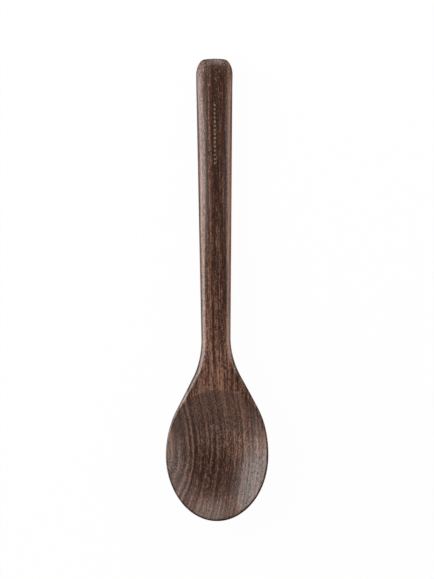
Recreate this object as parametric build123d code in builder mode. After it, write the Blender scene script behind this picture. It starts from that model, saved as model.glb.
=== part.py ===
from build123d import *
from math import asin, atan, cos, pi, radians, sin, sqrt, tan
import os

# A one-piece serving spoon carved from one board: hollowed bowl, neck and oval handle.
# The handle runs along +Y, +X is to the right and +Z up, with the hollow facing up.
# It lies as on a table, on the sanded spot under the bowl and on the handle's tail.
# The origin is on the table, under the middle of the length. Millimetres throughout.

# Driving dimensions of the plan
length = 300.0
bowl_width = 66.5
tip_reach = 43.0
shoulder_reach = 48.8
flank_angle = 27.7
neck_bend_radius = 54.0
neck_width = 18.6
handle_width = 24.0
end_corner_length = 11.0
end_corner_width = 5.3

# Driving dimensions of the side view
rim_height = 18.5
neck_lift = 7.5
handle_thickness = 14.0
end_edge_drop = 3.0
sanding_depth = 0.3

# Radius of the upper edge, which is fullest on the handle between these two places
rim_radius = 1.0
neck_edge_radius = 4.2
handle_edge_radius = 5.2
end_edge_radius = 2.0
full_edge_start = 236.0
full_edge_end = 250.0

# The top is flat up to the neck and crowned along the handle
handle_crown = 2.6
crown_start = 97.0
crown_end = 215.0

# The hollow, with its deepest place a little towards the tip
rim_margin = 0.95
hollow_length = 84.1
hollow_depth = 12.0
deepest_reach = 40.0

# Slope at which the underside leaves the upper edge, under the bowl and on the handle
hull_angle = 58.0
upright_angle = 90.0

# Pull of the underside's curve at the edge and at the keel, as shares of its height and width
bowl_edge_pull_share = 0.635
bowl_keel_pull_share = 0.404
handle_edge_pull_share = 0.66
handle_keel_pull_share = 0.62

# Pulls of the hollow's outline, as shares of its reach: an ellipse to the tip, fuller to the neck
ellipse_pull_share = 0.5523
neck_side_pull_share = 0.66
neck_top_pull_share = 0.60
hollow_floor_share = 0.12
hollow_overrun_share = 1.06

# Counts of sections along each stretch
neck_section_count = 14
handle_section_count = 12
end_section_count = 7
hollow_section_count = 7


def rise(position, start, end):
    """Rise evenly from 0 at start to 1 at end."""
    return min(max((position - start) / (end - start), 0.0), 1.0)


def ease(position, start, end):
    """Rise smoothly from 0 at start to 1 at end."""
    share = rise(position, start, end)
    return share * share * (3.0 - 2.0 * share)


def blend(first, second, share):
    return first + (second - first) * share


def evenly(start, end, count):
    return [blend(start, end, step / (count - 1)) for step in range(count)]


# Plan: places along the spoon are measured from the tip of the bowl
bowl_half = bowl_width / 2
neck_half = neck_width / 2
handle_half = handle_width / 2
flank_turn = radians(flank_angle)
shoulder_turn = atan(tan(flank_turn) * shoulder_reach / bowl_half)
flank_start = tip_reach + shoulder_reach * sin(shoulder_turn)
flank_start_half = bowl_half * cos(shoulder_turn)

# The neck's bend is an arc tangent to the straight flank and to the straight handle side
bend_corner = flank_start + (flank_start_half - neck_half) / tan(flank_turn)
handle_turn = atan((handle_half - neck_half) / (length - bend_corner))
bend_tangent = neck_bend_radius * tan((flank_turn + handle_turn) / 2)
bend_start = bend_corner - bend_tangent * cos(flank_turn)
bend_end = bend_corner + bend_tangent * cos(handle_turn)
bend_center = bend_end - neck_bend_radius * sin(handle_turn)
bend_end_half = neck_half + bend_tangent * sin(handle_turn)
bend_center_half = bend_end_half + neck_bend_radius * cos(handle_turn)

# The handle's end starts to draw in here, to its corners in plan and its edges in side view
corner_start = length - end_corner_length


def half_width(position):
    """Half the width of the outline seen from above, before its end corners."""
    if position < flank_start:
        return bowl_half * sqrt(1.0 - ((position - tip_reach) / shoulder_reach) ** 2)
    if position < bend_start:
        return flank_start_half - tan(flank_turn) * (position - flank_start)
    if position < bend_end:
        return bend_center_half - sqrt(neck_bend_radius**2 - (position - bend_center) ** 2)
    return neck_half + tan(handle_turn) * (position - bend_corner)


def drawn_in(position):
    """Share of its full amount by which the rounded end has drawn in."""
    run = max(position - corner_start, 0.0) / end_corner_length
    return 1.0 - sqrt(max(1.0 - run**2, 0.0))


def top_height(position):
    return blend(rim_height, handle_thickness, ease(position, bend_start, length))


def keel_height(position):
    """Height of the underside along the middle, which dips below the table by the sanding."""
    lift = ease(position, tip_reach, bend_corner)
    fall = ease(position, bend_corner, corner_start)
    return (neck_lift + sanding_depth) * (lift - fall) - sanding_depth


def edge_radius(position):
    """Radius of the upper edge: small at the rim, fullest on the handle, less at its end."""
    neck = blend(rim_radius, neck_edge_radius, rise(position, tip_reach, crown_start))
    handle = blend(neck, handle_edge_radius, ease(position, bend_end, full_edge_start))
    return blend(handle, end_edge_radius, ease(position, full_edge_end, length))


def cross_section(position, whole=True):
    """The upright section at this place, or only its right half."""
    to_neck = ease(position, tip_reach, bend_end)
    side = half_width(position) - end_corner_width * drawn_in(position)
    drop = end_edge_drop * drawn_in(position)
    top = top_height(position) - drop
    keel = keel_height(position) + drop
    radius = edge_radius(position)
    crown = handle_crown * ease(position, crown_start, crown_end) * side / handle_half
    slope = radians(blend(hull_angle, upright_angle, to_neck))
    edge_pull = blend(bowl_edge_pull_share, handle_edge_pull_share, to_neck)
    keel_pull = blend(bowl_keel_pull_share, handle_keel_pull_share, to_neck)

    # The edge's arc starts where the crowned top ends and turns down to the underside
    tilt = atan(2 * crown / side)
    center_x = side - radius
    top_end_x = center_x + radius * sin(tilt)
    top_end_y = top - top_end_x * tan(tilt) / 2
    center_y = top_end_y - radius * cos(tilt)
    turn = (tilt + pi - slope) / 2
    under_x = center_x + radius * sin(slope)
    under_y = center_y - radius * cos(slope)
    pull = edge_pull * (under_y - keel) / sin(slope)

    with BuildSketch(Plane.XZ.offset(length / 2 - position)) as profile:
        with BuildLine():
            ThreePointArc(
                (top_end_x, top_end_y),
                (center_x + radius * sin(turn), center_y + radius * cos(turn)),
                (under_x, under_y),
            )
            Bezier(
                (under_x, under_y),
                (under_x - pull * cos(slope), under_y - pull * sin(slope)),
                (keel_pull * under_x, keel),
                (0, keel),
            )
            if whole:
                mirror(about=Plane.YZ)
                Bezier(
                    (-top_end_x, top_end_y),
                    (0, top_end_y + top_end_x * tan(tilt)),
                    (top_end_x, top_end_y),
                )
            else:
                Polyline((top_end_x, top_end_y), (0, top_end_y), (0, keel))
        make_face()
    return profile.sketch


# The rounded front half of the bowl is its widest half-section turned about the upright axis
bowl_y = tip_reach - length / 2
with BuildPart() as front:
    revolve(
        cross_section(tip_reach, whole=False),
        axis=Axis((0, bowl_y, 0), (0, 0, 1)),
        revolution_arc=-180,
    )
    scale(by=(1.0, tip_reach / bowl_half, 1.0), about=(0, bowl_y, 0))

# The rest of the blank runs from the bowl's widest section to the end of the handle
end_turns = evenly(0, pi / 2, end_section_count)
with BuildPart() as blank:
    add(front.part)
    for stations in (
        evenly(tip_reach, bend_end, neck_section_count),
        evenly(bend_end, corner_start, handle_section_count),
        [corner_start + end_corner_length * sin(turn) for turn in end_turns],
    ):
        loft([cross_section(station) for station in stations])

# The hollow is round across the bowl, with the radius that its width and depth give
hollow_half = bowl_half - rim_margin
hollow_radius = (hollow_half**2 + hollow_depth**2) / (2 * hollow_depth)
deepest_y = deepest_reach - length / 2
hollow_back = hollow_length + rim_margin - tip_reach
hollow_front = tip_reach - rim_margin


def hollow_outline(share):
    """The hollow's level outline, drawn in towards its deepest place to this share."""
    side = hollow_half * share
    back = hollow_back * share
    front = hollow_front * share
    middle = blend(deepest_y, bowl_y, share)
    height = rim_height - hollow_depth + hollow_radius - sqrt(hollow_radius**2 - side**2)
    with BuildSketch(Plane.XY.offset(height)) as outline:
        with BuildLine():
            Bezier(
                (0, middle + back),
                (side * neck_top_pull_share, middle + back),
                (side, middle + back * neck_side_pull_share),
                (side, middle),
            )
            Bezier(
                (side, middle),
                (side, middle - front * ellipse_pull_share),
                (side * ellipse_pull_share, middle - front),
                (0, middle - front),
            )
            mirror(about=Plane.YZ)
        make_face()
    return outline.sketch


floor_turn = asin(hollow_half * hollow_floor_share / hollow_radius)
mouth_turn = asin(hollow_half * hollow_overrun_share / hollow_radius)
hollow_turns = evenly(floor_turn, mouth_turn, hollow_section_count)
with BuildPart() as scoop:
    loft([hollow_outline(hollow_radius * sin(turn) / hollow_half) for turn in hollow_turns])

with BuildPart() as spoon:
    add(blank.part)
    add(scoop.part, mode=Mode.SUBTRACT)
    split(bisect_by=Plane.XY, keep=Keep.TOP)

spoon.part.label = "spoon"
os.makedirs("parts", exist_ok=True)
export_step(spoon.part, "parts/spoon.step")

box = spoon.part.bounding_box()
print("size", [round(side, 2) for side in box.size])
print("neck bend from", round(bend_start, 1), "to", round(bend_end, 1), "from the tip")
print("floor of the hollow at", rim_height - hollow_depth, "above the table")
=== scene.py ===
"""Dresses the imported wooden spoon: its carved surface, its grown wood, the light and the camera.

Lengths are metres in the frame's own axes, but millimetres where a name ends in _MM and in
the lists that describe the wood.
Places along the spoon are measured from the tip of the bowl, as on the solid.
"""

import math

import bmesh
import bpy
import numpy as np
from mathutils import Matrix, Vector


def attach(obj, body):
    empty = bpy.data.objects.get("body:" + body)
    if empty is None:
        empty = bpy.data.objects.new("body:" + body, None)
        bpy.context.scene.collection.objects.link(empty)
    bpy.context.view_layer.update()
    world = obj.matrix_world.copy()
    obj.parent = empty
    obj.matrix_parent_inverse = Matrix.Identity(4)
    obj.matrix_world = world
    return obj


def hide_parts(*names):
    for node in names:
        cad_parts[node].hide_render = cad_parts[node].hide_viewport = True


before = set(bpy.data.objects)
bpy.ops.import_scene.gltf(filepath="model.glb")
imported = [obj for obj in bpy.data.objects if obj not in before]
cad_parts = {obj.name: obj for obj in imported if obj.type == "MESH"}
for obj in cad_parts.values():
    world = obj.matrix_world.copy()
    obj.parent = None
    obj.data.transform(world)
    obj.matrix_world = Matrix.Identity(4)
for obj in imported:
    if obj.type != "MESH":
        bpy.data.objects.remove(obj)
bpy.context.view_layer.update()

MM = 0.001


def mm(*lengths):
    """These lengths, written in millimetres, as metres."""
    return tuple(length * MM for length in lengths)


# Plan of the spoon, as on the solid
LENGTH = 300 * MM
BOWL_HALF = 33.25 * MM
NECK_HALF = 9.3 * MM
HANDLE_HALF = 12 * MM
TIP_REACH = 43 * MM
SHOULDER_REACH = 48.8 * MM
FLANK_TURN = math.radians(27.7)
NECK_BEND_RADIUS = 54 * MM
END_CORNER_LENGTH = 11 * MM
END_CORNER_WIDTH = 5.3 * MM

# Side view of the spoon, as on the solid
RIM_HEIGHT = 18.5 * MM
NECK_LIFT = 7.5 * MM
HANDLE_THICKNESS = 14 * MM
END_EDGE_DROP = 3 * MM
SANDING_DEPTH = 0.3 * MM
NECK_EDGE_RADIUS = 4.2 * MM
HANDLE_EDGE_RADIUS = 5.2 * MM
END_EDGE_RADIUS = 2 * MM
FULL_EDGE_START = 236 * MM
FULL_EDGE_END = 250 * MM
HANDLE_CROWN = 2.6 * MM
CROWN_START = 97 * MM
CROWN_END = 215 * MM

# Slope at which the underside leaves the upper edge, under the bowl and on the handle, in degrees
HULL_ANGLE = 58
UPRIGHT_ANGLE = 90

# Pull of the underside's curve at the edge and at the keel, as shares of its height and width
BOWL_EDGE_PULL = 0.635
BOWL_KEEL_PULL = 0.404
HANDLE_EDGE_PULL = 0.66
HANDLE_KEEL_PULL = 0.62

# The hollow, as on the solid
RIM_MARGIN = 0.95 * MM
HOLLOW_LENGTH = 84.1 * MM
HOLLOW_DEPTH = 12 * MM
DEEPEST_REACH = 40 * MM

# Pulls of the hollow's outline, as shares of its reach: an ellipse to the tip, fuller to the neck
ELLIPSE_PULL = 0.5523
NECK_SIDE_PULL = 0.66
NECK_TOP_PULL = 0.60

# What hand sanding adds to the solid: a softened rim, a bowed end, and ends that sway aside
RIM_RADIUS = 0.8 * MM
RIM_SOFTNESS = 0.5 * MM
END_BOW = 1.3 * MM
END_SWAY = 0.15 * MM
BOWL_SWAY = 0.28 * MM
SHOULDER_SWAY = 0.57 * MM

# Where the bowl and the shoulders sway aside: the places it starts between, and ends between
BOWL_SWAY_REACH = (mm(-15, 20), mm(90, 125))
SHOULDER_SWAY_REACH = (mm(40, 78), mm(78, 118))

# A row of plain burnt dots on the handle
DOT_COUNT = 15
DOT_PITCH = 2.7 * MM
DOT_ROW_MIDDLE = 251 * MM
DOT_RADIUS = 0.82 * MM
DOT_FLOOR_RADIUS = 0.6 * DOT_RADIUS
DOT_DEPTH = 0.14 * MM


def rise(position, start, end):
    """Rise evenly from 0 at start to 1 at end."""
    return np.clip((position - start) / (end - start), 0, 1)


def ease(position, start, end):
    """Rise smoothly from 0 at start to 1 at end."""
    share = rise(position, start, end)
    return share * share * (3 - 2 * share)


def between(position, start, end):
    """Rise smoothly from 0 to 1 along the stretch start, and fall again along the stretch end."""
    return ease(position, *start) * (1 - ease(position, *end))


def blend(first, second, share):
    return first + (second - first) * share


def bezier(points, share):
    """The point of a cubic curve at this share, for one coordinate of its four points."""
    first, second, third, fourth = points
    rest = 1 - share
    near = rest**3 * first + 3 * rest**2 * share * second
    return near + 3 * rest * share**2 * third + share**3 * fourth


# The straight flank leaves the bowl here, and meets the handle's side in a bend
shoulder_turn = math.atan(math.tan(FLANK_TURN) * SHOULDER_REACH / BOWL_HALF)
flank_start = TIP_REACH + SHOULDER_REACH * math.sin(shoulder_turn)
flank_start_half = BOWL_HALF * math.cos(shoulder_turn)
bend_corner = flank_start + (flank_start_half - NECK_HALF) / math.tan(FLANK_TURN)
handle_turn = math.atan((HANDLE_HALF - NECK_HALF) / (LENGTH - bend_corner))
bend_tangent = NECK_BEND_RADIUS * math.tan((FLANK_TURN + handle_turn) / 2)
bend_start = bend_corner - bend_tangent * math.cos(FLANK_TURN)
bend_end = bend_corner + bend_tangent * math.cos(handle_turn)
bend_center = bend_end - NECK_BEND_RADIUS * math.sin(handle_turn)
bend_end_half = NECK_HALF + bend_tangent * math.sin(handle_turn)
bend_center_half = bend_end_half + NECK_BEND_RADIUS * math.cos(handle_turn)
corner_start = LENGTH - END_CORNER_LENGTH
bowl_y = TIP_REACH - LENGTH / 2


def half_width(position):
    """Half the width seen from above, from the bowl's widest place to the handle's end."""
    across = np.clip((position - TIP_REACH) / SHOULDER_REACH, 0, 1)
    bowl = BOWL_HALF * np.sqrt(1 - across**2)
    flank = flank_start_half - math.tan(FLANK_TURN) * (position - flank_start)
    along = np.clip(position - bend_center, -NECK_BEND_RADIUS, NECK_BEND_RADIUS)
    bend = bend_center_half - np.sqrt(NECK_BEND_RADIUS**2 - along**2)
    handle = NECK_HALF + math.tan(handle_turn) * (position - bend_corner)
    stretches = [position < flank_start, position < bend_start, position < bend_end]
    return np.select(stretches, [bowl, flank, bend], handle)


def drawn_in(position):
    """Share of its full amount by which the rounded end has drawn in."""
    run = np.clip((position - corner_start) / END_CORNER_LENGTH, 0, 1)
    return 1 - np.sqrt(1 - run**2)


def edge_radius(position):
    """Radius of the upper edge: small at the rim, fullest on the handle, less at its end."""
    neck = blend(RIM_RADIUS, NECK_EDGE_RADIUS, rise(position, TIP_REACH, CROWN_START))
    handle = blend(neck, HANDLE_EDGE_RADIUS, ease(position, bend_end, FULL_EDGE_START))
    return blend(handle, END_EDGE_RADIUS, ease(position, FULL_EDGE_END, LENGTH))


class Section:
    """The upright sections at these places, each as its top, its edge and its underside."""

    def __init__(self, position):
        to_neck = ease(position, TIP_REACH, bend_end)
        self.side = half_width(position) - END_CORNER_WIDTH * drawn_in(position)
        drop = END_EDGE_DROP * drawn_in(position)
        top = blend(RIM_HEIGHT, HANDLE_THICKNESS, ease(position, bend_start, LENGTH)) - drop
        lift = ease(position, TIP_REACH, bend_corner) - ease(position, bend_corner, corner_start)
        self.keel = (NECK_LIFT + SANDING_DEPTH) * lift - SANDING_DEPTH + drop
        self.radius = edge_radius(position)
        self.slope = np.radians(blend(HULL_ANGLE, UPRIGHT_ANGLE, to_neck))
        self.edge_pull = blend(BOWL_EDGE_PULL, HANDLE_EDGE_PULL, to_neck)
        self.keel_pull = blend(BOWL_KEEL_PULL, HANDLE_KEEL_PULL, to_neck)
        crown = HANDLE_CROWN * ease(position, CROWN_START, CROWN_END) * self.side / HANDLE_HALF
        self.tilt = np.arctan(2 * crown / self.side)
        self.center_x = self.side - self.radius
        self.top_end_x = self.center_x + self.radius * np.sin(self.tilt)
        self.crown = self.top_end_x * np.tan(self.tilt) / 2
        self.top_end_z = top - self.crown
        self.center_z = self.top_end_z - self.radius * np.cos(self.tilt)

    def top(self, share):
        """From the middle to the right end of the top."""
        return self.top_end_x * share, self.top_end_z + self.crown * (1 - share**2)

    def edge(self, share):
        """Round the upper edge, from the top's end to where the underside starts."""
        turn = blend(self.tilt, math.pi - self.slope, share)
        x = self.center_x + self.radius * np.sin(turn)
        return x, self.center_z + self.radius * np.cos(turn)

    def underside(self, share):
        """From the upper edge down to the keel, and level where it is sanded flat."""
        under_x = self.center_x + self.radius * np.sin(self.slope)
        under_z = self.center_z - self.radius * np.cos(self.slope)
        pull = self.edge_pull * (under_z - self.keel) / np.sin(self.slope)
        pulled_x = under_x - pull * np.cos(self.slope)
        pulled_z = under_z - pull * np.sin(self.slope)
        x = bezier((under_x, pulled_x, self.keel_pull * under_x, 0), share)
        z = bezier((under_z, pulled_z, self.keel, self.keel), share)
        return x, np.maximum(z, 0)


# Samples of the hollow's mouth to each quarter, and steps that find the hollow's height at a place
MOUTH_SAMPLES = 600
HEIGHT_STEPS = 25

# The hollow's mouth, seen from the bowl's middle, and the radius of the hollow across the bowl
hollow_half = BOWL_HALF - RIM_MARGIN
hollow_back = HOLLOW_LENGTH + RIM_MARGIN - TIP_REACH
hollow_front = TIP_REACH - RIM_MARGIN
hollow_radius = (hollow_half**2 + HOLLOW_DEPTH**2) / (2 * HOLLOW_DEPTH)
curve = np.linspace(0, 1, MOUTH_SAMPLES)
mouth_x = np.concatenate(
    [
        bezier((0, ELLIPSE_PULL * hollow_half, hollow_half, hollow_half), curve),
        bezier((hollow_half, hollow_half, NECK_TOP_PULL * hollow_half, 0), curve),
    ]
)
mouth_y = np.concatenate(
    [
        bezier((-hollow_front, -hollow_front, -ELLIPSE_PULL * hollow_front, 0), curve),
        bezier((0, NECK_SIDE_PULL * hollow_back, hollow_back, hollow_back), curve),
    ]
)
mouth_turn = np.arctan2(mouth_y, mouth_x)
mouth_reach = np.hypot(mouth_x, mouth_y)


def reach_of_mouth(x, y):
    """How far the hollow's mouth is from its middle, in the direction of this place."""
    return np.interp(np.arctan2(y, np.abs(x)), mouth_turn, mouth_reach)


def hollow_height(x, y):
    """Height of the hollow's surface, and of its run-on beyond the mouth.

    Each step comes closer to the level outline that this place lies on, as a share of the mouth.
    """
    share = np.full(np.broadcast(x, y).shape, 0.5)
    for _ in range(HEIGHT_STEPS):
        ahead = y - (blend(DEEPEST_REACH, TIP_REACH, share) - LENGTH / 2)
        share = np.hypot(x, ahead) / reach_of_mouth(x, ahead)
    across = np.minimum(hollow_half * share, hollow_radius)
    return RIM_HEIGHT - HOLLOW_DEPTH + hollow_radius - np.sqrt(hollow_radius**2 - across**2)


def hollowed(x, y, z):
    """The lower of this height and the hollow's, with a softened edge between them."""
    hollow = hollow_height(x, y)
    near = np.clip(1 - np.abs(z - hollow) / RIM_SOFTNESS, 0, 1)
    return np.minimum(z, hollow) - near**2 * RIM_SOFTNESS / 4


# Counts of the mesh's rows, dense enough to be smooth in a close view
SIDE_ROWS = 66
FRONT_ROWS = 150
TOP_COLUMNS = 34
EDGE_ROWS = 9
UNDER_ROWS = 22
HOLLOW_RINGS = 52
HANDLE_PITCH = 0.85 * MM
DOT_ROW_PITCH = 0.2 * MM
END_ROWS = 14
CAP_RINGS = 6

# Share of even spacing across the handle's top; the rest crowds the columns along its middle
EVEN_SPACING = 0.45

# Points nearer to each other than this are one, where patches meet
WELD_DISTANCE = 0.002 * MM

# Rings beside the mouth of the hollow, as distances from it
inner_offsets = np.array([1.1, 0.75, 0.5, 0.32, 0.18, 0.07]) * MM
outer_offsets = np.array([0.07, 0.18, 0.32, 0.55, 0.95, 1.6, 2.6, 4.0, 5.8]) * MM


def top_columns():
    """Shares across the handle's top, closer together along its middle."""
    even = np.linspace(-1, 1, TOP_COLUMNS + 1)
    return blend(even**3, even, EVEN_SPACING)


def bowl_outline():
    """The sections round the bowl: their place along the spoon and their turn about its middle."""
    sides = np.linspace(bend_start, TIP_REACH, SIDE_ROWS + 1)
    turns = np.linspace(0, math.pi, FRONT_ROWS + 1)
    place = np.concatenate([sides[:-1], np.full(FRONT_ROWS + 1, TIP_REACH), sides[::-1][1:]])
    turn = np.concatenate([np.zeros(SIDE_ROWS), turns, np.full(SIDE_ROWS, math.pi)])
    return place, turn


def turned(place, turn, reach, z):
    """Points of sections that stand across the spoon, or turned about the bowl's middle."""
    stretch = TIP_REACH / BOWL_HALF
    y = place - LENGTH / 2 - reach * np.sin(turn) * stretch
    return np.stack(np.broadcast_arrays(reach * np.cos(turn), y, z), axis=-1)


def bowl_top_patch():
    """The hollow, the rim and the flat shoulders, in rings round the bowl's middle."""
    place, turn = bowl_outline()
    border = turned(place, turn, *Section(place).top(1))[:, :2]
    joint_x, _ = Section(bend_start).top(top_columns()[1:-1])
    joint = np.stack([joint_x, np.full_like(joint_x, bend_start - LENGTH / 2)], axis=-1)
    border = np.concatenate([border, joint])
    away = border - [0, bowl_y]
    far = np.hypot(away[:, 0], away[:, 1])
    direction = away / far[:, None]
    mouth = reach_of_mouth(away[:, 0], away[:, 1])
    shares = np.linspace(0, 1, HOLLOW_RINGS)[:, None]
    rings = list(shares * (mouth - inner_offsets[0]))
    rings += [mouth - offset for offset in inner_offsets[1:]] + [mouth]
    for step, offset in enumerate(outer_offsets, start=1):
        rings.append(mouth + np.minimum(offset, (far - mouth) * step / (len(outer_offsets) + 1)))
    rings = np.array(rings + [far])[:, :, None]
    plan = [0, bowl_y] + direction[None] * rings
    x, y = plan[..., 0], plan[..., 1]
    z = hollowed(x, y, np.full_like(x, RIM_HEIGHT))
    return np.stack([x, y, z], axis=-1)


def bowl_hull_patch():
    """The bowl's rounded rim and its underside, from the joint round the tip and back."""
    place, turn = bowl_outline()
    section = Section(place)
    edge = np.linspace(0, 1, EDGE_ROWS + 1)[:, None]
    under = np.linspace(0, 1, UNDER_ROWS + 1)[1:, None]
    rim = turned(place, turn, *section.edge(edge))
    rim[..., 2] = hollowed(rim[..., 0], rim[..., 1], rim[..., 2])
    return np.concatenate([rim, turned(place, turn, *section.underside(under))])


def handle_places():
    """Places of the handle's sections: even, closer at the dots, and at even turns at the end."""
    half_row = DOT_PITCH * DOT_COUNT / 2
    row_start, row_end = DOT_ROW_MIDDLE - half_row, DOT_ROW_MIDDLE + half_row
    stretches = [
        (bend_start, row_start, HANDLE_PITCH),
        (row_start, row_end, DOT_ROW_PITCH),
        (row_end, corner_start, HANDLE_PITCH),
    ]
    places = []
    for start, end, pitch in stretches:
        places.append(np.linspace(start, end, round((end - start) / pitch) + 1)[:-1])
    turns = np.linspace(0, math.pi / 2, END_ROWS + 1)
    return np.concatenate(places + [corner_start + END_CORNER_LENGTH * np.sin(turns)])


def loop_points(place):
    """Closed loops of points round the sections at these places."""
    section = Section(place[:, None])
    columns = top_columns()
    edge = np.linspace(0, 1, EDGE_ROWS + 1)[1:]
    under = np.linspace(0, 1, UNDER_ROWS + 1)[1:]
    top_x, top_z = section.top(columns[None])
    edge_x, edge_z = section.edge(edge[None])
    under_x, under_z = section.underside(under[None])
    back = slice(None, None, -1)
    x = np.concatenate([top_x, edge_x, under_x, -under_x[:, -2::-1], -edge_x[:, back]], axis=1)
    z = np.concatenate([top_z, edge_z, under_z, under_z[:, -2::-1], edge_z[:, back]], axis=1)
    y = np.broadcast_to(place[:, None] - LENGTH / 2, x.shape)
    return np.stack([x, y, z], axis=-1)


def handle_patch():
    """The handle's sections, from the joint with the bowl to the end."""
    return loop_points(handle_places())


def end_patch():
    """Rings that close the handle's end."""
    loop = loop_points(np.array([LENGTH]))[0]
    middle = (loop.min(axis=0) + loop.max(axis=0)) / 2
    return np.array([blend(loop, middle, step / CAP_RINGS) for step in range(CAP_RINGS + 1)])


def sway(position):
    """How far the bowl, the shoulders and the handle's end stand to the right of its line."""
    bowl = BOWL_SWAY * between(position, *BOWL_SWAY_REACH)
    shoulders = SHOULDER_SWAY * between(position, *SHOULDER_SWAY_REACH)
    end = END_SWAY * ease(position, corner_start - END_CORNER_LENGTH, LENGTH)
    return bowl + shoulders + end


def dot_share(x, y):
    """1 inside a dot of the row, 0 outside, and a slope between."""
    first = DOT_ROW_MIDDLE - LENGTH / 2 - DOT_PITCH * (DOT_COUNT - 1) / 2
    nearest = np.clip(np.round((y - first) / DOT_PITCH), 0, DOT_COUNT - 1)
    away = np.hypot(x, y - first - nearest * DOT_PITCH)
    return 1 - ease(away, DOT_FLOOR_RADIUS, DOT_RADIUS)


def mouth_share(x, y):
    """0 at the middle of the bowl, 1 at the mouth of the hollow, and more beyond it."""
    return np.hypot(x, y - bowl_y) / reach_of_mouth(x, y - bowl_y)


# What use has done to the wood, and the light and shade painted on it. Pairs are where a mark
# starts and where it is full, or where it begins to end and has ended: as places along the spoon,
# as shares of the half width from the middle line (negative on the left), or, named OUTWARD, as
# shares of the way to the hollow's mouth

# The handle's lighter sides, partly worn and partly a painted sheen where they face the side
# lights: how much lighter at first, and further along the handle
LEFT_WEAR_AND_SHEEN = (0.16, 0.33)
LEFT_WEAR_AND_SHEEN_GROWS = mm(130, 200)
RIGHT_WEAR_AND_SHEEN = (0.44, 0.56)
RIGHT_WEAR_AND_SHEEN_GROWS = mm(160, 220)
SIDE_WEAR_AND_SHEEN_ACROSS = (0.5, 0.9)
SIDE_WEAR_AND_SHEEN_STARTS = mm(100, 126)
SIDE_WEAR_AND_SHEEN_ENDS = mm(280, 300)
SIDE_WEAR_AND_SHEEN_LEFT_OVER = 0.4

# The hollow's lighter left wall, where it faces the right: painted light
WALL_PAINTED_LIGHT = 0.16
WALL_PAINTED_LIGHT_OUTWARD = (0.35, 0.85)
WALL_PAINTED_LIGHT_FADES_ACROSS = (-0.6, 0.1)
WALL_PAINTED_LIGHT_ENDS = (0.6 * HOLLOW_LENGTH, HOLLOW_LENGTH)

# Painted shade on the rim round the tip and to its right, away from the left lamp; fainter on the
# far right
RIM_PAINTED_SHADE = 0.46
RIM_PAINTED_SHADE_OUTWARD = (0.97, 0.992)
RIM_PAINTED_SHADE_ENDS = mm(46, 62)
RIM_PAINTED_SHADE_FROM_LEFT = (-0.75, -0.4)
RIM_PAINTED_SHADE_FADES_ACROSS = (0.75, 1)
RIM_PAINTED_SHADE_LEFT_OVER = 0.45

# Painted highlight and painted shade on edges: how much lighter, on which side (1 is the right),
# how far across it starts, and where along the spoon it starts and ends. They are a painted
# highlight on the rim on the left, and painted shade on the right shoulder and on the left shoulder
# with its outermost edge
PAINTED_LIGHT_AND_SHADE_EDGES = [
    (0.20, -1, (0.80, 0.95), mm(40, 52), mm(62, 74)),
    (-0.36, 1, (0.62, 0.85), mm(54, 72), mm(90, 106)),
    (-0.28, -1, (0.62, 0.85), mm(66, 86), mm(92, 116)),
    (-0.20, -1, (0.76, 0.92), mm(76, 84), mm(108, 122)),
]

# Where the polish has gone: along the right shoulder, as above, and on the rim round the tip and
# to the right, on the corners of the handle's end, and a little in the hollow
DULL_SHOULDER = (0.85, 1, (0.5, 0.8), mm(62, 82), mm(90, 104))
DULL_RIM = 0.65
DULL_RIM_OUTWARD = (0.97, 0.995)
DULL_RIM_ENDS = mm(62, 80)
DULL_RIM_FROM_LEFT = (-0.4, 0.2)
DULL_CORNERS = 0.5
DULL_CORNERS_START = mm(286, 296)
DULL_CORNERS_ACROSS = (0.25, 0.6)
DULL_HOLLOW = 0.27
DULL_HOLLOW_ENDS_OUTWARD = (0.96, 1)

# Painted shade on the hollow's slope to the neck, which faces away from the lights, is full from
# here on
UPPER_WALL_SHADE_FULL = 0.9 * HOLLOW_LENGTH


def worn_and_sheen_sides(across, place):
    """How much lighter wear and a painted sheen make the handle's sides, most of all on the right.
    """
    left = blend(*LEFT_WEAR_AND_SHEEN, ease(place, *LEFT_WEAR_AND_SHEEN_GROWS))
    right = blend(*RIGHT_WEAR_AND_SHEEN, ease(place, *RIGHT_WEAR_AND_SHEEN_GROWS))
    sides = ease(np.abs(across), *SIDE_WEAR_AND_SHEEN_ACROSS) * blend(left, right, ease(across, -1, 1))
    sides = sides * blend(1, SIDE_WEAR_AND_SHEEN_LEFT_OVER, ease(place, *SIDE_WEAR_AND_SHEEN_ENDS))
    return sides * ease(place, *SIDE_WEAR_AND_SHEEN_STARTS)


def painted_light_wall(across, place, out):
    """How much painted light lightens the hollow's left wall, where it faces the right."""
    wall = WALL_PAINTED_LIGHT * ease(out, *WALL_PAINTED_LIGHT_OUTWARD) * (out < 1)
    return wall * (1 - ease(across, *WALL_PAINTED_LIGHT_FADES_ACROSS)) * (1 - ease(place, *WALL_PAINTED_LIGHT_ENDS))


def painted_shade_rim(across, place, out):
    """How much painted shade darkens the rim round the tip."""
    rim = RIM_PAINTED_SHADE * ease(out, *RIM_PAINTED_SHADE_OUTWARD) * (1 - ease(place, *RIM_PAINTED_SHADE_ENDS))
    rim = rim * ease(across, *RIM_PAINTED_SHADE_FROM_LEFT)
    return rim * blend(1, RIM_PAINTED_SHADE_LEFT_OVER, ease(across, *RIM_PAINTED_SHADE_FADES_ACROSS))


def edge_mark(across, place, amount, side, from_middle, start, end):
    """A mark of this amount along one edge of the spoon."""
    return amount * ease(side * across, *from_middle) * between(place, start, end)


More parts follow.
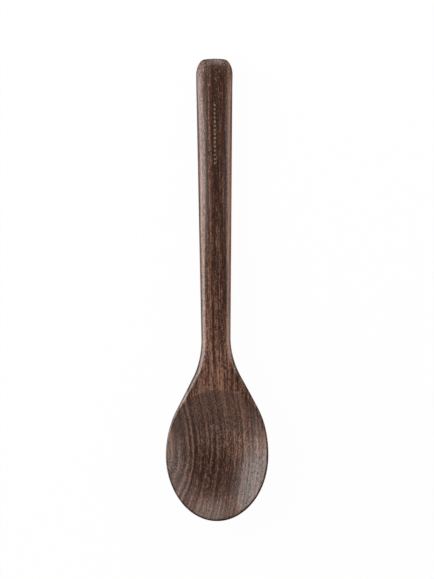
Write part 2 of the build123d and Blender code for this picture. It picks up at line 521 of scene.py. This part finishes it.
def wear_and_painted_light(x, y):
    """How much lighter or darker the wood is made by wear, by painted sheen, light and highlight,
    and by painted shade.
    """
    place = y + LENGTH / 2
    across = x / half_width(place)
    out = mouth_share(x, y)
    lighter = worn_and_sheen_sides(across, place) + painted_light_wall(across, place, out)
    edges = sum(edge_mark(across, place, *mark) for mark in PAINTED_LIGHT_AND_SHADE_EDGES)
    return lighter + edges - painted_shade_rim(across, place, out)


def dull_share(x, y):
    """How far the polish has gone."""
    place = y + LENGTH / 2
    out = mouth_share(x, y)
    shoulder = edge_mark(x / half_width(place), place, *DULL_SHOULDER)
    rim = DULL_RIM * ease(out, *DULL_RIM_OUTWARD) * (1 - ease(place, *DULL_RIM_ENDS))
    rim = rim * ease(x / BOWL_HALF, *DULL_RIM_FROM_LEFT)
    corners = DULL_CORNERS * ease(place, *DULL_CORNERS_START)
    corners = corners * ease(np.abs(x) / HANDLE_HALF, *DULL_CORNERS_ACROSS)
    hollow = DULL_HOLLOW * (1 - ease(out, *DULL_HOLLOW_ENDS_OUTWARD))
    return np.maximum.reduce([shoulder, rim, corners, hollow])


def upper_wall_shade_share(x, y, z):
    """How far up the hollow towards the neck this is: that wall faces away from the lights, gets
    painted shade and shows less of its grain.
    """
    inside = mouth_share(x, y) < 1
    above = z > hollow_height(x, y) - RIM_SOFTNESS
    return inside * above * ease(y + LENGTH / 2, TIP_REACH, UPPER_WALL_SHADE_FULL)


def quads(rows, columns, first, closed):
    """Corner numbers of the faces between neighbouring rows and columns of a patch."""
    numbers = first + np.arange(rows * columns).reshape(rows, columns)
    if closed:
        numbers = np.concatenate([numbers, numbers[:, :1]], axis=1)
    corners = [numbers[:-1, :-1], numbers[:-1, 1:], numbers[1:, 1:], numbers[1:, :-1]]
    return np.stack(corners, axis=-1).reshape(-1, 4)


def closed_mesh():
    """The patches of the spoon, joined to one closed mesh."""
    points, faces, count = [], [], 0
    patches = [
        (bowl_top_patch(), True),
        (bowl_hull_patch(), False),
        (handle_patch(), True),
        (end_patch(), True),
    ]
    for patch, closed in patches:
        rows, columns = patch.shape[:2]
        faces.append(quads(rows, columns, count, closed))
        points.append(patch.reshape(-1, 3))
        count += rows * columns
    mesh = bpy.data.meshes.new("carved_spoon")
    mesh.from_pydata(np.concatenate(points).tolist(), [], np.concatenate(faces).tolist())
    shell = bmesh.new()
    shell.from_mesh(mesh)
    bmesh.ops.remove_doubles(shell, verts=shell.verts, dist=WELD_DISTANCE)
    bmesh.ops.recalc_face_normals(shell, faces=shell.faces)
    shell.to_mesh(mesh)
    shell.free()
    return mesh


def carved_spoon():
    """The spoon's mesh, marked for its material, then dotted, bowed at its end and swayed."""
    mesh = closed_mesh()
    spots = np.zeros(len(mesh.vertices) * 3)
    mesh.vertices.foreach_get("co", spots)
    x, y, z = spots.reshape(-1, 3).T
    dots = dot_share(x, y) * (z > HANDLE_THICKNESS / 2)
    marks = {
        "dots": dots,
        "wear_and_painted_light": wear_and_painted_light(x, y),
        "dull": dull_share(x, y),
        # The hollow's slope to the neck: painted shade there, and less grain
        "carved": upper_wall_shade_share(x, y, z),
    }
    place = y + LENGTH / 2
    bow = END_BOW * ease(place, corner_start, LENGTH) * (x / HANDLE_HALF) ** 2
    moved = np.stack([x + sway(place), y - bow, z - DOT_DEPTH * dots], axis=-1)
    mesh.vertices.foreach_set("co", moved.ravel())
    for name, values in marks.items():
        attribute = mesh.attributes.new(name, "FLOAT", "POINT")
        attribute.data.foreach_set("value", values.astype(np.float32))
    mesh.shade_smooth()
    mesh.update()
    return mesh


class Graph:
    """Adds the nodes of one material, or of the world, and links them."""

    def __init__(self, material):
        material.use_nodes = True
        self.tree = material.node_tree
        self.tree.nodes.clear()

    def add(self, kind, settings=None, **inputs):
        node = self.tree.nodes.new(kind)
        for name, value in (settings or {}).items():
            setattr(node, name, value)
        for name, value in inputs.items():
            self.feed(node.inputs[name.replace("_", " ")], value)
        return node

    def feed(self, socket, value):
        if isinstance(value, bpy.types.NodeSocket):
            self.tree.links.new(value, socket)
        else:
            socket.default_value = value

    def math(self, operation, *values, clamp=False):
        node = self.add("ShaderNodeMath", {"operation": operation, "use_clamp": clamp})
        for socket, value in zip(node.inputs, values):
            self.feed(socket, value)
        return node.outputs[0]

    def vector(self, operation, first, second):
        node = self.add("ShaderNodeVectorMath", {"operation": operation})
        self.feed(node.inputs[0], first)
        self.feed(node.inputs["Scale" if operation == "SCALE" else 1], second)
        return node.outputs[0]

    def plus(self, total, *layers):
        """This total with each (layer, weight) added to it."""
        for layer, weight in layers:
            total = self.math("MULTIPLY_ADD", layer, weight, total)
        return total

    def curve(self, value, points):
        """A smooth curve through (place, value) points, level beyond the first and the last."""
        heights = [height for _, height in points]
        bottom, top = min(heights), max(heights)
        low, high = points[0][0], points[-1][0]
        share = self.math("DIVIDE", self.math("SUBTRACT", value, low), high - low, clamp=True)
        node = self.add("ShaderNodeFloatCurve", Value=share)
        line = node.mapping.curves[0]
        while len(line.points) < len(points):
            line.points.new(0.5, 0.5)
        for point, (place, height) in zip(line.points, points):
            point.location = ((place - low) / (high - low), (height - bottom) / (top - bottom))
        node.mapping.update()
        return self.math("MULTIPLY_ADD", node.outputs[0], top - bottom, bottom)

    def noise(self, spot, stretch, detail, roughness):
        """Noise about 0, roughly from -0.5 to 0.5, with so many features to the millimetre."""
        scaled = self.vector("MULTIPLY", spot, stretch)
        inputs = {"Vector": scaled, "Scale": 1.0, "Detail": detail, "Roughness": roughness}
        node = self.add("ShaderNodeTexNoise", {"noise_dimensions": "3D"}, **inputs)
        return self.math("SUBTRACT", node.outputs[0], 0.5)

    def ramp(self, value, stops):
        node = self.add("ShaderNodeValToRGB", Fac=value)
        line = node.color_ramp
        while len(line.elements) < len(stops):
            line.elements.new(0.5)
        for element, (place, colour) in zip(line.elements, stops):
            element.position = place
            element.color = (*colour, 1)
        return node.outputs[0]


# The board: how far its pith lies from the bowl's floor, and how high that floor is
PITH_LEFT_MM = 94.8
PITH_BELOW_MM = 26.9
FLOOR_MM = 6.5

# How far its rings wander sideways along the spoon: (place, shift), in millimetres
RING_WANDER = [
    (0, -3.1),
    (14, -2.3),
    (30, -0.6),
    (50, 0.55),
    (75, 0.05),
    (98, 0.0),
    (118, -0.5),
    (225, -0.5),
    (260, -1.3),
    (300, -2.1),
]

# Lightness across its rings, by the distance from the ring at the bowl's floor: late wood is
# light, and the porous early wood beside it dark
RING_TONES = [
    (-40, 0.42),
    (-30, 0.50),
    (-27, 0.38),
    (-24.0, 0.62),
    (-22.3, 0.26),
    (-20.4, 0.58),
    (-18.4, 0.32),
    (-17.5, 0.68),
    (-16.9, 0.95),
    (-16.3, 0.72),
    (-15.7, 0.20),
    (-15.1, 0.54),
    (-14.5, 1.0),
    (-13.9, 0.72),
    (-13.2, 0.15),
    (-12.5, 0.38),
    (-11.8, 0.32),
    (-10.9, 0.60),
    (-9.4, 0.50),
    (-8.4, 0.44),
    (-7.5, 0.28),
    (-6.0, 0.80),
    (-4.8, 0.30),
    (-3.7, 0.56),
    (-2.6, 0.40),
    (-1.2, 0.28),
    (0.4, 0.72),
    (1.8, 0.40),
    (3.3, 0.26),
    (4.7, 0.62),
    (5.6, 0.42),
    (6.7, 0.64),
    (7.4, 0.44),
    (8.1, 0.54),
    (9.4, 0.30),
    (10.8, 0.44),
    (12.3, 0.68),
    (13.5, 0.20),
    (14.9, 0.68),
    (16.3, 0.22),
    (18.0, 0.80),
    (19.1, 0.40),
    (20.1, 0.58),
    (21.5, 0.28),
    (22.9, 0.62),
    (24.1, 0.28),
    (25.3, 0.54),
    (26.1, 0.42),
    (27.1, 0.68),
    (28.7, 0.30),
    (30.0, 0.60),
    (31.3, 0.36),
    (32.6, 0.62),
    (34.2, 0.34),
    (37, 0.55),
    (40, 0.40),
]

# Lightness along the spoon: the neck is the lightest part of the board
LENGTH_TONES = [
    (0, 0.18),
    (12, 0.26),
    (24, 0.24),
    (45, 0.34),
    (65, 0.51),
    (84, 0.70),
    (95, 0.70),
    (125, 0.50),
    (150, 0.34),
    (180, 0.25),
    (235, 0.22),
    (275, 0.20),
    (300, 0.21),
]

# How strongly its rings show along the spoon
RING_CONTRAST = [
    (0, 0.65),
    (20, 0.8),
    (40, 0.95),
    (60, 0.95),
    (90, 0.74),
    (150, 0.56),
    (300, 0.60),
]

# How strongly its fine speckle shows along the spoon
SPECKLE_CONTRAST = [
    (0, 0.5),
    (20, 0.8),
    (38, 1.6),
    (80, 1.1),
    (110, 1.3),
    (200, 1.2),
    (300, 2.0),
]

# Patches of darker or lighter wood, the first of them painted shade: the place, distance to the
# right of the middle, reach across, reach along, and how much darker
PATCHES = [
    # Painted shade along the neck's right edge
    (93, 11.5, 5, 15, 0.30),
    (64, -24, 7, 17, 0.24),
    (24, 24, 16, 26, 0.34),
    (28, 5, 9, 14, 0.13),
    (22, -23, 9, 14, 0.12),
    (54, 0, 16, 12, -0.15),
    (46, 18, 6, 14, -0.13),
    (11, 2, 17, 8, -0.12),
    (225, -3.2, 2.2, 75, -0.09),
    (245, 0.6, 3.4, 55, 0.12),
    (145, -6, 3, 45, -0.18),
    (148, 5, 5, 38, 0.11),
]

# The hollow's left wall follows one layer of pores, and looks mottled there: a patch as above,
# and how much stronger its speckle is
MOTTLED_PATCH = (33, -24.5, 7, 12)
MOTTLING = 1.6

# Noise layers of the wood: features to the millimetre along each axis, detail and roughness.
# Streaks and fine lines lie across the rings and along the spoon, the others along its own axes
SLOW_BENDS = ((0.05, 0.012, 0.05), 1, 0.5)
QUICK_BENDS = ((0.5, 0.05, 0.5), 2, 0.5)
STREAKS = ((1.3, 0.022, 0), 2, 0.7)
FINE_LINES = ((0.9, 0.03, 0), 1, 0.6)
FLECKS = ((1.7, 0.22, 1.7), 1, 0.6)
SPECKS = ((1.7, 1.1, 1.7), 0, 0.5)
PORES = ((2.1, 0.5, 2.1), 2, 0.5)

# How far the noise bends the rings, in millimetres
SLOW_BEND_MM = 1.2
QUICK_BEND_MM = 0.65

# Open pores crowd where the rings are darker than this tone: by how much, how rare they are
# elsewhere, how sharp their edges are, and how dark they are
EARLY_TONE = 0.62
PORE_CROWDING = 0.22
PORE_RARITY = 0.06
PORE_SHARPNESS = 14.0
PORE_DARKNESS = 0.34

# How the layers add up to the wood's lightness, about the rings' middle tone
MIDDLE_TONE = 0.47
STREAK_WEIGHT = 1.8
FLECK_WEIGHT = 2.2
FINE_LINE_WEIGHT = 1.4
TONE_LIFT = 0.065

# Worn wood, and wood lightened with painted light, shows less of its grain, and so does the
# hollow's slope to the neck, which is darkened with painted shade
WEAR_AND_PAINTED_LIGHT_CALMS = 1.1
CARVING_CALMS = 0.46
UPPER_WALL_PAINTED_SHADE = 0.13

# The wood's colours from its darkest pore to its lightest late wood
WOOD_COLOURS = [
    (0.0, (0.014, 0.0055, 0.0038)),
    (0.25, (0.053, 0.0208, 0.0138)),
    (0.5, (0.092, 0.0400, 0.0270)),
    (0.75, (0.158, 0.0760, 0.0510)),
    (1.0, (0.270, 0.1400, 0.0930)),
]
BURNT_COLOUR = (0.38, 0.28, 0.205, 1.0)
BURNT_SHARE = 0.4

# Relief of the sanded surface
PORE_RELIEF = -0.6
FLECK_RELIEF = 0.6
FINE_LINE_RELIEF = 0.6
STREAK_RELIEF = 0.5
RELIEF_STRENGTH = 0.35
RELIEF_DEPTH = 0.06 * MM

# The fibres' own shine, which is weaker in the pores
FIBRE_SHINE = (1.0, 0.60, 0.42, 1.0)
FIBRE_ROUGHNESS = 0.52
FIBRE_SPECULAR = 0.5
PORE_SPECULAR = -0.35

# The coat of oil: its weight and roughness, and how much pores, fine lines and dullness change them
COAT_WEIGHT = 1.04
PORE_COAT = -0.25
FINE_LINE_COAT = 0.8
COAT_ROUGHNESS = 0.18
PORE_COAT_ROUGHNESS = 0.12
DULL_COAT_ROUGHNESS = 0.24

# The coat's roughness for exports that take only one value
EVEN_COAT_ROUGHNESS = 0.2


def patch_share(g, right, place, patch):
    """1 at the middle of the patch, falling to 0 at its edge."""
    patch_place, patch_right, reach_across, reach_along = patch
    across = g.math("DIVIDE", g.math("SUBTRACT", right, patch_right), reach_across)
    along = g.math("DIVIDE", g.math("SUBTRACT", place, patch_place), reach_along)
    out = g.math("ADD", g.math("MULTIPLY", across, across), g.math("MULTIPLY", along, along))
    return g.math("SUBTRACT", 1, out, clamp=True)


def ring_distance(g, spot, right, height, place):
    """Distance across the rings, from the one at the bowl's floor, in millimetres."""
    across = g.math("ADD", right, PITH_LEFT_MM)
    up = g.math("ADD", height, PITH_BELOW_MM - FLOOR_MM)
    squares = g.math("ADD", g.math("MULTIPLY", across, across), g.math("MULTIPLY", up, up))
    from_floor = math.hypot(PITH_LEFT_MM, PITH_BELOW_MM)
    ring = g.math("SUBTRACT", g.math("SQRT", squares), from_floor)
    ring = g.math("SUBTRACT", ring, g.curve(place, RING_WANDER))
    slow_bend = g.noise(spot, *SLOW_BENDS)
    quick_bend = g.noise(spot, *QUICK_BENDS)
    return g.plus(ring, (slow_bend, SLOW_BEND_MM), (quick_bend, QUICK_BEND_MM))


def grain_layers(g, spot, ring, place):
    """The rings' lightness, streaks and fine lines along the grain, flecks, specks and pores."""
    ring_tone = g.curve(ring, RING_TONES)
    grown_spot = g.add("ShaderNodeCombineXYZ", X=ring, Y=place).outputs[0]
    early = g.math("SUBTRACT", EARLY_TONE, ring_tone)
    rare_pores = g.math("SUBTRACT", g.noise(spot, *PORES), PORE_RARITY)
    pore_share = g.plus(rare_pores, (early, PORE_CROWDING))
    return {
        "rings": ring_tone,
        "streaks": g.noise(grown_spot, *STREAKS),
        "fine_lines": g.noise(grown_spot, *FINE_LINES),
        "flecks": g.noise(spot, *FLECKS),
        "specks": g.noise(spot, *SPECKS),
        "pores": g.math("MULTIPLY", pore_share, PORE_SHARPNESS, clamp=True),
    }


def wood_tone(g, right, place, grain, marks, calm):
    """Lightness of the wood, from 0 at its darkest pore to 1 at its lightest late wood."""
    rings = g.math("SUBTRACT", grain["rings"], MIDDLE_TONE)
    rings = g.plus(rings, (grain["streaks"], STREAK_WEIGHT), (grain["flecks"], FLECK_WEIGHT))
    rings = g.math("MULTIPLY", rings, g.curve(place, RING_CONTRAST))
    rings = g.plus(rings, (grain["fine_lines"], FINE_LINE_WEIGHT))
    ring_strength = g.plus(calm, (marks["carved"], -CARVING_CALMS))
    tone = g.plus(g.curve(place, LENGTH_TONES), (rings, ring_strength))
    for *patch, darkness in PATCHES:
        tone = g.plus(tone, (patch_share(g, right, place, patch), -darkness))
    # Add the wear with its painted sheen, light, highlight and shade, then painted shade on the
    # hollow's slope to the neck
    tone = g.plus(g.math("ADD", tone, marks["wear_and_painted_light"]), (marks["carved"], -UPPER_WALL_PAINTED_SHADE))
    mottled = patch_share(g, right, place, MOTTLED_PATCH)
    contrast = g.plus(g.curve(place, SPECKLE_CONTRAST), (mottled, MOTTLING))
    tone = g.plus(tone, (grain["specks"], g.math("MULTIPLY", contrast, calm)))
    pore_tone = g.math("MULTIPLY", calm, -PORE_DARKNESS)
    return g.plus(g.math("ADD", tone, TONE_LIFT), (grain["pores"], pore_tone))


def wood_colour(g, tone, dots):
    mixed = g.add("ShaderNodeMix", {"data_type": "RGBA"})
    g.feed(mixed.inputs["Factor"], g.math("MULTIPLY", dots, BURNT_SHARE))
    g.feed(mixed.inputs["A"], g.ramp(tone, WOOD_COLOURS))
    g.feed(mixed.inputs["B"], BURNT_COLOUR)
    return mixed.outputs["Result"]


def wood_relief(g, grain, calm):
    """The surface's direction over open pores and raised fibres, smoother where it is worn or
    lightened with painted light.
    """
    relief = g.plus(
        g.math("MULTIPLY", grain["flecks"], FLECK_RELIEF),
        (grain["pores"], PORE_RELIEF),
        (grain["fine_lines"], FINE_LINE_RELIEF),
        (grain["streaks"], STREAK_RELIEF),
    )
    height = g.math("MULTIPLY", relief, calm)
    inputs = {"Height": height, "Strength": RELIEF_STRENGTH, "Distance": RELIEF_DEPTH}
    return g.add("ShaderNodeBump", **inputs).outputs[0]


def oiled_surface(g, colour, normal, grain, dull):
    """The fibres give back a broad brown shine, and the oil over them a narrow white one."""
    pores = grain["pores"]
    coat = g.plus(COAT_WEIGHT, (pores, PORE_COAT), (grain["fine_lines"], FINE_LINE_COAT))
    surface = g.add(
        "ShaderNodeBsdfPrincipled",
        Base_Color=colour,
        Roughness=FIBRE_ROUGHNESS,
        Normal=normal,
        Specular_IOR_Level=g.plus(FIBRE_SPECULAR, (pores, PORE_SPECULAR)),
        Specular_Tint=FIBRE_SHINE,
        Coat_Weight=g.math("SUBTRACT", coat, dull, clamp=True),
        Coat_Normal=normal,
    )
    coat_roughness = surface.inputs["Coat Roughness"]
    coat_roughness.default_value = EVEN_COAT_ROUGHNESS
    changes = [(pores, PORE_COAT_ROUGHNESS), (dull, DULL_COAT_ROUGHNESS)]
    g.feed(coat_roughness, g.plus(COAT_ROUGHNESS, *changes))
    return surface.outputs[0]


def wood():
    """Dark ring-porous wood, oiled to a satin, grown through the whole spoon."""
    material = bpy.data.materials.new("oiled_wood")
    g = Graph(material)
    object_spot = g.add("ShaderNodeTexCoord").outputs["Object"]
    spot = g.vector("SCALE", object_spot, 1 / MM)
    axes = g.add("ShaderNodeSeparateXYZ", Vector=spot)
    right, along, height = axes.outputs
    place = g.math("ADD", along, LENGTH / MM / 2)
    marks = {
        name: g.add("ShaderNodeAttribute", {"attribute_name": name}).outputs["Fac"]
        for name in ("dots", "wear_and_painted_light", "dull", "carved")
    }
    ring = ring_distance(g, spot, right, height, place)
    grain = grain_layers(g, spot, ring, place)
    calm = g.plus(1, (g.math("MAXIMUM", marks["wear_and_painted_light"], 0), -WEAR_AND_PAINTED_LIGHT_CALMS))
    colour = wood_colour(g, wood_tone(g, right, place, grain, marks, calm), marks["dots"])
    normal = wood_relief(g, grain, calm)
    surface = oiled_surface(g, colour, normal, grain, marks["dull"])
    g.add("ShaderNodeOutputMaterial", Surface=surface)
    return material


# The camera looks straight down, from far away, at the frame of the photograph
CAMERA_HEIGHT = 3.0
FRAME_HEIGHT_MM = 375.7
FRAME_TURN = math.radians(-0.365)
FRAME_MIDDLE = mm(0.9, 0.1)
TRUE_SIZE_HEIGHT = 13 * MM
SENSOR_MM = 36.0
SIGHT_REACH = 20.0


def photo_camera():
    """A camera that shows things at the true-size height at the photograph's scale."""
    data = bpy.data.cameras.new("camera")
    data.sensor_width = SENSOR_MM
    data.lens = SENSOR_MM * (CAMERA_HEIGHT - TRUE_SIZE_HEIGHT) / (FRAME_HEIGHT_MM * MM)
    data.clip_end = SIGHT_REACH
    camera = bpy.data.objects.new("camera", data)
    camera.location = (*FRAME_MIDDLE, CAMERA_HEIGHT)
    camera.rotation_euler = (0, 0, FRAME_TURN)
    bpy.context.collection.objects.link(camera)
    bpy.context.scene.camera = camera


def softbox(name, azimuth, spread, top, distance, radiance):
    """An upright soft light that faces the spoon: its direction and half its spread as seen from
    there, and how near to overhead its top is, in degrees. Its radiance is what a mirror shows."""
    ray = Vector((math.cos(math.radians(azimuth)), math.sin(math.radians(azimuth)), 0))
    data = bpy.data.lights.new(name, "AREA")
    data.shape = "RECTANGLE"
    data.size = 2 * distance * math.tan(math.radians(spread))
    data.size_y = distance / math.tan(math.radians(top))
    data.energy = radiance * math.pi * data.size * data.size_y
    lamp = bpy.data.objects.new(name, data)
    lamp.location = distance * ray + Vector((0, 0, data.size_y / 2))
    lamp.rotation_euler = (-ray).to_track_quat("-Z", "Y").to_euler()
    lamp.visible_camera = False
    bpy.context.collection.objects.link(lamp)


def plane(name, low, high, height):
    """A level rectangle of the stage, from its low to its high corner."""
    mesh = bpy.data.meshes.new(name)
    corners = [(low[0], low[1]), (high[0], low[1]), (high[0], high[1]), (low[0], high[1])]
    mesh.from_pydata([(*corner, height) for corner in corners], [], [(0, 1, 2, 3)])
    sheet = bpy.data.objects.new(name, mesh)
    bpy.context.collection.objects.link(sheet)
    return sheet


def seen_white(g):
    """1 for what the camera sees itself, in gloss or through glass, and 0 for other light."""
    path = g.add("ShaderNodeLightPath")
    gloss = g.math("ADD", path.outputs["Is Glossy Ray"], path.outputs["Is Transmission Ray"])
    return g.math("ADD", gloss, path.outputs["Is Camera Ray"], clamp=True)


# The floor: its reach, how white it looks itself, and the paint that the other light meets
FLOOR_REACH = 4.0
FLOOR_WHITE = 0.97
FLOOR_PALE = 0.9

# Painted shade in gloss: the floor is duller there, and dullest on the right, where the spoon casts
# its
# shadow: strength there and on the left, and the reach of the change between them, to the left of
# the spoon
GLOSS_RIGHT = 0.12
GLOSS_LEFT = 0.6
GLOSS_CHANGE = 0.15


def floor_strength(g):
    """Strength of the floor's white: 1 to the camera, and duller in gloss as painted shade, less so
    on the left.
    """
    object_spot = g.add("ShaderNodeTexCoord").outputs["Object"]
    right = g.add("ShaderNodeSeparateXYZ", Vector=object_spot).outputs["X"]
    leftness = g.math("DIVIDE", right, -GLOSS_CHANGE, clamp=True)
    gloss_painted_shade = g.math("MULTIPLY_ADD", leftness, GLOSS_LEFT - GLOSS_RIGHT, GLOSS_RIGHT - 1)
    gloss = g.add("ShaderNodeLightPath").outputs["Is Glossy Ray"]
    return g.math("MULTIPLY_ADD", gloss, gloss_painted_shade, 1)


def pale_floor():
    """A floor that looks white, takes the spoon's shadow and throws back a pale light."""
    floor = plane("floor", (-FLOOR_REACH, -FLOOR_REACH), (FLOOR_REACH, FLOOR_REACH), 0)
    material = bpy.data.materials.new("pale_floor")
    g = Graph(material)
    paint = g.add("ShaderNodeBsdfDiffuse", Color=(FLOOR_PALE, FLOOR_PALE, FLOOR_PALE, 1))
    white = g.add("ShaderNodeEmission", Strength=floor_strength(g))
    share = g.math("MULTIPLY", seen_white(g), FLOOR_WHITE)
    mixed = g.add("ShaderNodeMixShader", Fac=share)
    g.feed(mixed.inputs[1], paint.outputs[0])
    g.feed(mixed.inputs[2], white.outputs[0])
    g.add("ShaderNodeOutputMaterial", Surface=mixed.outputs[0])
    floor.data.materials.append(material)


# Cards hang at this height over the spoon, so that level wood reflects no light
CARD_HEIGHT = 1.0


def card(name, left, right, near, far, grey):
    """A card over the spoon: its edges as angles from overhead, to the left, the right, the bowl's
    side and the handle's side, in degrees, and the grey that it is painted."""
    reach = [CARD_HEIGHT * math.tan(math.radians(angle)) for angle in (left, right, near, far)]
    sheet = plane(name, (-reach[0], -reach[2]), (reach[1], reach[3]), CARD_HEIGHT)
    material = bpy.data.materials.new(name)
    g = Graph(material)
    paint = g.add("ShaderNodeBsdfDiffuse", Color=(grey, grey, grey, 1))
    g.add("ShaderNodeOutputMaterial", Surface=paint.outputs[0])
    sheet.data.materials.append(material)
    sheet.visible_camera = False
    sheet.visible_diffuse = False


# Strength of the surround on matt surfaces; seen itself, it has a strength of 1
AMBIENT = 0.42


def white_surround():
    world = bpy.data.worlds.new("studio")
    bpy.context.scene.world = world
    g = Graph(world)
    strength = g.math("MULTIPLY_ADD", seen_white(g), 1 - AMBIENT, AMBIENT)
    surround = g.add("ShaderNodeBackground", Strength=strength)
    g.add("ShaderNodeOutputWorld", Surface=surround.outputs[0])


def studio_light():
    """A white surround, a strong softbox on the left and weaker ones past the handle and right."""
    white_surround()
    softbox("softbox_left", azimuth=160, spread=30, top=38, distance=1.15, radiance=4.3)
    softbox("softbox_far", azimuth=76, spread=24, top=37, distance=1.2, radiance=1.9)
    softbox("softbox_right", azimuth=10, spread=27, top=57, distance=1.2, radiance=1.35)
    card("lens_card", left=38, right=42, near=16, far=37, grey=0.01)
    card("front_card", left=50, right=50, near=62, far=-16, grey=0.6)


photo_camera()
pale_floor()
studio_light()

spoon = bpy.data.objects.new("wooden_spoon", carved_spoon())
bpy.context.collection.objects.link(spoon)
spoon.data.materials.append(wood())
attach(spoon, "root")
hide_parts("spoon")

bpy.context.scene.view_settings.view_transform = "Standard"
